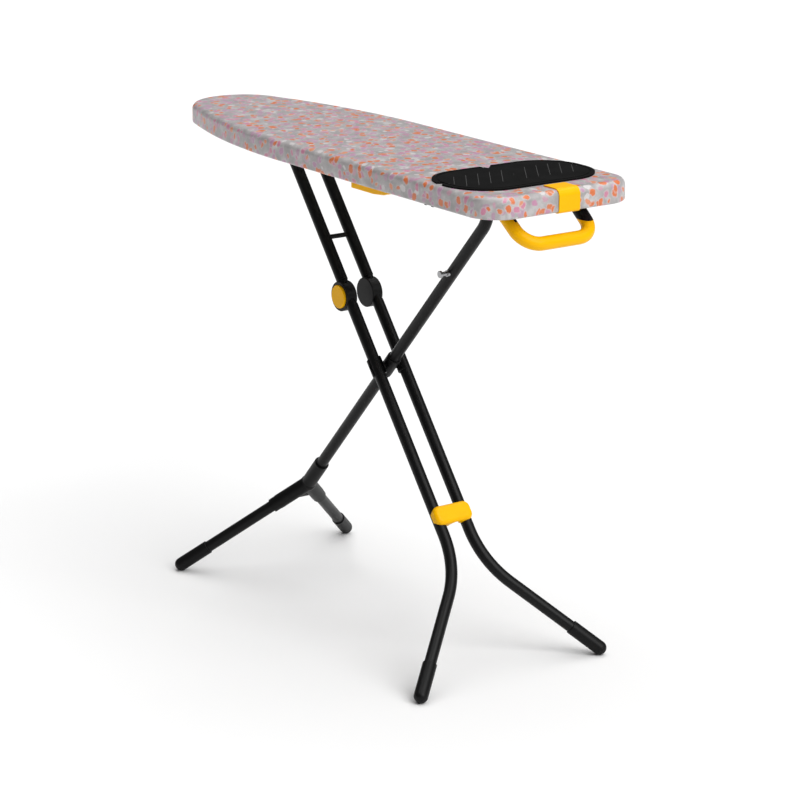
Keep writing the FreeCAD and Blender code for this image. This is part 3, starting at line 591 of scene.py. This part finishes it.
def make_cover():
    """Stretched cover: flat top with slow hollows, taut rounded edge, gathered hem below."""
    ripple = smooth_noise(11, 31.0, 1.0)
    gather = smooth_noise(23, 210.0, 1.0)
    slack = smooth_noise(5, 16.0, 1.0)
    profile = cover_profile()
    verts, uvs = [], []
    start = EDGE
    spacing = sum((RING[i][0] - RING[i - 1][0]).length for i in range(len(RING))) / len(RING)
    for inset, z, cloth in profile:
        side = max(0.0, min(1.0, (TOP - z) / (TOP - UNDER)))
        under = max(0.0, min(1.0, (inset - HEM_EDGE) / (HEM_WIDTH - HEM_EDGE))) if cloth > 0.03 else 0.0
        for i, (p, n) in enumerate(RING):
            u = i * spacing
            puff = 0.35 * MM * side * ripple(u) + 0.25 * MM * side * slack(u)
            lift = under * (0.8 * MM + 0.9 * MM * gather(u))
            drift = 1.2 * MM * under * gather(u + 0.3)
            q = p - n * (inset - puff + drift)
            verts.append(Vector((q.x, q.y, z + lift)))
            foot = p - n * start
            uvs.append(foot + n * cloth)
    count = len(RING)
    faces = []
    for row in range(len(profile) - 1):
        for i in range(count):
            j = (i + 1) % count
            a, b = row * count + i, row * count + j
            faces.append((a, a + count, b + count, b))
    inner = [verts[i].to_2d() for i in range(count)]
    grid = plan_grid(9 * MM, 0, EDGE + 9 * MM)
    loop = [(i, (i + 1) % count) for i in range(count)]
    points, _, tris, _, _, _ = delaunay_2d_cdt(inner + grid, loop, [], 1, 1e-7)
    index = {}
    for k, p in enumerate(points):
        if k < count:
            index[k] = k
        else:
            hollow = 0.18 * MM * (math.sin(23 * p.x + 9 * p.y) + math.sin(41 * p.y - 13 * p.x + 1.3))
            fade = min(1.0, (edge_distance(p.x, p.y) - EDGE) / 0.03)
            index[k] = len(verts)
            verts.append(Vector((p.x, p.y, TOP - 0.25 * MM * fade + hollow * fade * 0.6)))
            uvs.append(p.copy())
    faces += [tuple(index[k] for k in t) for t in tris]
    obj = piece("cover_print", verts, faces)
    bm = bmesh.new()
    bm.from_mesh(obj.data)
    bmesh.ops.recalc_face_normals(bm, faces=bm.faces)
    top = max(bm.faces, key=lambda f: f.calc_center_median().z)
    if top.normal.z < 0:
        bmesh.ops.reverse_faces(bm, faces=bm.faces)
    layer = bm.loops.layers.uv.new("cloth")
    bm.verts.ensure_lookup_table()
    for face in bm.faces:
        for corner in face.loops:
            corner[layer].uv = uvs[corner.vert.index]
    bm.to_mesh(obj.data)
    bm.free()
    settle_cover(obj)
    thick = obj.modifiers.new("cloth_thickness", "SOLIDIFY")
    thick.thickness = CLOTH_THICKNESS
    thick.offset = -1.0
    thick.use_even_offset = True
    apply_modifiers(obj)
    obj.data.materials.append(FINISH["print"])
    set_smooth(obj)
    return obj


def edge_distance(x, y):
    """Distance from a point in plan to the table's edge; positive inside."""
    y = abs(y)
    if x > HEEL - CORNER and y > HALF - CORNER:
        return CORNER - math.hypot(x - (HEEL - CORNER), y - (HALF - CORNER))
    if x >= SIDE_END:
        return min(HEEL - x, HALF - y)
    nose_x = NOSE + NOSE_R
    dx, dy = x - SIDE_END, y - (HALF - FLANK)
    if math.atan2(-dx, dy) <= THETA:
        return FLANK - math.hypot(dx, dy)
    return NOSE_R - math.hypot(x - nose_x, y)


def inset_loop(inset, z, step=1):
    """Points a given way in from the table's edge, at one height."""
    return [Vector((*(p - n * inset), z)) for p, n in RING[::step]]


def make_foam():
    """Foam felt pad with soft edges, seen through the deck's mesh from below."""
    low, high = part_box("foam_pad")
    rings = [(5 * MM, low.z), (3 * MM, low.z + 1.5 * MM), (3.2 * MM, low.z + 3 * MM)]
    rings += [(5 * MM, high.z - 2.4 * MM), (8 * MM, high.z - 0.8 * MM), (12 * MM, high.z)]
    verts = []
    for inset, z in rings:
        verts += inset_loop(inset, z, 2)
    count = len(RING) // 2
    faces = []
    for row in range(len(rings) - 1):
        for i in range(count):
            j = (i + 1) % count
            faces.append((row * count + i, row * count + j, (row + 1) * count + j, (row + 1) * count + i))
    faces.append(tuple(reversed(range(count))))
    faces.append(tuple(range((len(rings) - 1) * count, len(rings) * count)))
    obj = outwards(piece("pad_foam_sheet", verts, faces))
    obj.data.materials.append(FINISH["foam"])
    return obj


# ---------------------------------------------------------------- geometry node pieces

def node_tree(name, inputs):
    """New geometry tree with the given inputs: the tree, its input and its output."""
    tree = bpy.data.node_groups.new(name, "GeometryNodeTree")
    tree.interface.new_socket("Geometry", in_out="INPUT", socket_type="NodeSocketGeometry")
    tree.interface.new_socket("Geometry", in_out="OUTPUT", socket_type="NodeSocketGeometry")
    for label, kind, value in inputs:
        item = tree.interface.new_socket(label, in_out="INPUT", socket_type="NodeSocket" + kind)
        if value is not None:
            item.default_value = value
    return tree, tree.nodes.new("NodeGroupInput"), tree.nodes.new("NodeGroupOutput")


def run_tree(obj, tree, values):
    """Run a geometry tree on an object and keep its result as a plain mesh."""
    mod = obj.modifiers.new(tree.name, "NODES")
    mod.node_group = tree
    for item in tree.interface.items_tree:
        if item.item_type == "SOCKET" and item.in_out == "INPUT" and item.name in values:
            mod[item.identifier] = values[item.name]
    return apply_modifiers(obj)


def finish_tree(tree, out, geometry, material):
    """Make the tree's instances real, give them a finish and send them out."""
    realize = tree.nodes.new("GeometryNodeRealizeInstances")
    paint = tree.nodes.new("GeometryNodeSetMaterial")
    paint.inputs["Material"].default_value = material
    tree.links.new(geometry, realize.inputs["Geometry"])
    tree.links.new(realize.outputs["Geometry"], paint.inputs["Geometry"])
    tree.links.new(paint.outputs["Geometry"], out.inputs["Geometry"])


def mesh_deck_tree():
    """Diamond strands on every point: the expanded metal of the deck."""
    tree, group_in, out = node_tree("expanded_metal", [
        ("Cell Length", "Float", 0.03), ("Cell Width", "Float", 0.014),
        ("Strand Width", "Float", 0.002), ("Strand Depth", "Float", 0.0014)])
    nodes, links = tree.nodes, tree.links
    diamond = nodes.new("GeometryNodeCurvePrimitiveQuadrilateral")
    diamond.mode = "KITE"
    half_width = nodes.new("ShaderNodeMath")
    half_width.operation = "DIVIDE"
    half_width.inputs[1].default_value = 2.0
    links.new(group_in.outputs["Cell Width"], half_width.inputs[0])
    links.new(group_in.outputs["Cell Length"], diamond.inputs["Width"])
    links.new(half_width.outputs[0], diamond.inputs["Top Height"])
    links.new(half_width.outputs[0], diamond.inputs["Bottom Height"])
    strand = nodes.new("GeometryNodeCurvePrimitiveQuadrilateral")
    strand.mode = "RECTANGLE"
    links.new(group_in.outputs["Strand Width"], strand.inputs["Width"])
    links.new(group_in.outputs["Strand Depth"], strand.inputs["Height"])
    sweep = nodes.new("GeometryNodeCurveToMesh")
    links.new(diamond.outputs["Curve"], sweep.inputs["Curve"])
    links.new(strand.outputs["Curve"], sweep.inputs["Profile Curve"])
    place = nodes.new("GeometryNodeInstanceOnPoints")
    links.new(group_in.outputs["Geometry"], place.inputs["Points"])
    links.new(sweep.outputs["Mesh"], place.inputs["Instance"])
    finish_tree(tree, out, place.outputs["Instances"], FINISH["deck"])
    return tree


def make_deck_mesh():
    """Expanded metal deck, a staggered field of diamonds inside the rim."""
    low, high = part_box("deck_sheet")
    length, width = 30 * MM, 13 * MM
    verts = []
    rows = int(2 * HALF / (width / 2)) + 2
    for r in range(rows):
        y = -HALF + r * width / 2
        for c in range(int((HEEL - NOSE) / length) + 2):
            x = NOSE + c * length + (length / 2 if r % 2 else 0)
            if edge_distance(x, y) > DECK_MARGIN:
                verts.append((x, y, (low.z + high.z) / 2))
    obj = piece("deck_expanded_metal", verts, [], smooth=False)
    run_tree(obj, mesh_deck_tree(), {"Cell Length": length, "Cell Width": width,
                                      "Strand Width": 2.1 * MM, "Strand Depth": 1.3 * MM})
    if not obj.data.materials:
        obj.data.materials.append(FINISH["deck"])
    return obj


def bead_tree():
    """Small raised beads, one on each point, all turned the same way."""
    tree, group_in, out = node_tree("rest_beads", [
        ("Bead Length", "Float", 0.003), ("Bead Width", "Float", 0.0013), ("Bead Height", "Float", 0.0006),
        ("Turn", "Float", 0.0)])
    nodes, links = tree.nodes, tree.links
    ball = nodes.new("GeometryNodeMeshUVSphere")
    ball.inputs["Segments"].default_value = 8
    ball.inputs["Rings"].default_value = 5
    ball.inputs["Radius"].default_value = 0.5
    size = nodes.new("ShaderNodeCombineXYZ")
    for key, label in (("X", "Bead Length"), ("Y", "Bead Width"), ("Z", "Bead Height")):
        links.new(group_in.outputs[label], size.inputs[key])
    twist = nodes.new("ShaderNodeCombineXYZ")
    links.new(group_in.outputs["Turn"], twist.inputs["Z"])
    place = nodes.new("GeometryNodeInstanceOnPoints")
    links.new(group_in.outputs["Geometry"], place.inputs["Points"])
    links.new(ball.outputs["Mesh"], place.inputs["Instance"])
    links.new(size.outputs["Vector"], place.inputs["Scale"])
    links.new(twist.outputs["Vector"], place.inputs["Rotation"])
    shade = nodes.new("GeometryNodeSetShadeSmooth")
    links.new(place.outputs["Instances"], shade.inputs["Geometry"])
    # painted highlight: the beads get the pale grey copy of the mat's silicone
    finish_tree(tree, out, shade.outputs["Geometry"], FINISH["bead"])
    return tree


def make_rest_beads():
    """Slanted rows of beads on the iron rest."""
    low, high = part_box("iron_mat")
    middle = (low + high) / 2
    turn = math.atan2(-53.0, 76.0)
    step = Vector((math.cos(turn), math.sin(turn)))
    verts = []
    for row in range(-5, 6):
        if row == 0:
            continue
        centre = Vector((middle.x, middle.y + row * 25 * MM))
        for k in range(-9, 10):
            p = centre + step * (k * 5 * MM)
            dx = max(abs(p.x - middle.x) - (high.x - low.x) / 2 + REST_R, 0.0)
            dy = max(abs(p.y - middle.y) - (high.y - low.y) / 2 + REST_R, 0.0)
            past_side = abs(p.x - middle.x) >= (high.x - low.x) / 2 - BEAD_MARGIN
            if math.hypot(dx, dy) < REST_R - BEAD_MARGIN and not past_side:
                verts.append((p.x, p.y, high.z))
    for end in (low.y + 12 * MM, middle.y, high.y - 12 * MM):
        verts.append((middle.x, end, high.z))
    obj = piece("rest_bead_rows", verts, [], smooth=False)
    run_tree(obj, bead_tree(), {"Bead Length": 3.2 * MM, "Bead Width": 1.2 * MM,
                                "Bead Height": 1.0 * MM, "Turn": turn})
    return obj


def stitch_tree():
    """Stitches laid along a closed path, each a short rounded thread."""
    tree, group_in, out = node_tree("hem_stitches", [
        ("Spacing", "Float", 0.005), ("Stitch Length", "Float", 0.0034), ("Thread", "Float", 0.0007)])
    nodes, links = tree.nodes, tree.links
    curve = nodes.new("GeometryNodeMeshToCurve")
    links.new(group_in.outputs["Geometry"], curve.inputs["Mesh"])
    even = nodes.new("GeometryNodeResampleCurve")
    even.mode = "LENGTH"
    links.new(curve.outputs["Curve"], even.inputs["Curve"])
    links.new(group_in.outputs["Spacing"], even.inputs["Length"])
    tangent = nodes.new("GeometryNodeInputTangent")
    aim = nodes.new("FunctionNodeAlignEulerToVector")
    aim.axis = "X"
    links.new(tangent.outputs["Tangent"], aim.inputs["Vector"])
    ball = nodes.new("GeometryNodeMeshUVSphere")
    ball.inputs["Segments"].default_value = 6
    ball.inputs["Rings"].default_value = 4
    ball.inputs["Radius"].default_value = 0.5
    size = nodes.new("ShaderNodeCombineXYZ")
    for key, label in (("X", "Stitch Length"), ("Y", "Thread"), ("Z", "Thread")):
        links.new(group_in.outputs[label], size.inputs[key])
    place = nodes.new("GeometryNodeInstanceOnPoints")
    links.new(even.outputs["Curve"], place.inputs["Points"])
    links.new(ball.outputs["Mesh"], place.inputs["Instance"])
    links.new(aim.outputs["Rotation"], place.inputs["Rotation"])
    links.new(size.outputs["Vector"], place.inputs["Scale"])
    finish_tree(tree, out, place.outputs["Instances"], FINISH["thread"])
    return tree


def make_stitches(name, inset, z):
    """Row of stitches round the hem."""
    loop = inset_loop(inset, z)
    obj = piece(name, loop, [], smooth=False)
    mesh = bpy.data.meshes.new(name)
    mesh.from_pydata([tuple(v) for v in loop], [(i, (i + 1) % len(loop)) for i in range(len(loop))], [])
    obj.data = mesh
    run_tree(obj, stitch_tree(), {"Spacing": 5 * MM, "Stitch Length": 3.6 * MM, "Thread": 0.8 * MM})
    return obj


# ---------------------------------------------------------------- room, light and camera

def make_camera():
    """Long lens at the heel end, looking down the table from the near side."""
    data = bpy.data.cameras.new("camera")
    data.lens = 120.73
    data.sensor_width = 36.0
    data.clip_end = 60.0
    cam = bpy.data.objects.new("camera", data)
    cam.location = (3.973, -2.7231, 1.8236)
    cam.rotation_euler = (math.radians(90 - 16.294), 0.0, math.radians(55.047))
    bpy.context.scene.collection.objects.link(cam)
    bpy.context.scene.camera = cam


def soft_sun(name, towards, power, spread):
    """Distant studio softbox that shines along one direction."""
    data = bpy.data.lights.new(name, "SUN")
    data.energy = power
    data.angle = math.radians(spread)
    lamp = bpy.data.objects.new(name, data)
    lamp.rotation_euler = Vector(towards).to_track_quat("-Z", "Y").to_euler()
    bpy.context.scene.collection.objects.link(lamp)


def make_room():
    """White floor, dim white surroundings and two soft lamps."""
    far = FLOOR_REACH
    floor = piece("floor", [(-far, -far, 0), (far, -far, 0), (far, far, 0), (-far, far, 0)],
                  [(0, 1, 2, 3)], smooth=False)
    mat, nodes, links, shader = new_material("floor_white")
    shader.inputs["Base Color"].default_value = (0.82, 0.82, 0.82, 1)
    shader.inputs["Roughness"].default_value = 0.95
    shader.inputs["Specular IOR Level"].default_value = 0.0
    floor.data.materials.append(mat)
    world = bpy.data.worlds.new("studio")
    world.use_nodes = True
    world.node_tree.nodes["Background"].inputs["Color"].default_value = (1, 1, 1, 1)
    world.node_tree.nodes["Background"].inputs["Strength"].default_value = 0.13
    bpy.context.scene.world = world
    soft_sun("heel_softbox", (-0.76, -0.12, -0.65), 2.4, 50)
    soft_sun("top_softbox", (0.1, -0.16, -1.0), 2.25, 70)
    bpy.context.scene.view_settings.view_transform = "Standard"


make_camera()
make_room()
dress_cad_nodes()

cover = make_cover()
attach(cover, "board")
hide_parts("fabric_cover")

foam = make_foam()
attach(foam, "board")
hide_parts("foam_pad")

deck = make_deck_mesh()
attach(deck, "board")
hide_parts("deck_sheet")

beads = make_rest_beads()
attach(beads, "board")

stitches = make_stitches("hem_stitching", STITCH_INSET, UNDER - 0.1 * MM)
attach(stitches, "board")
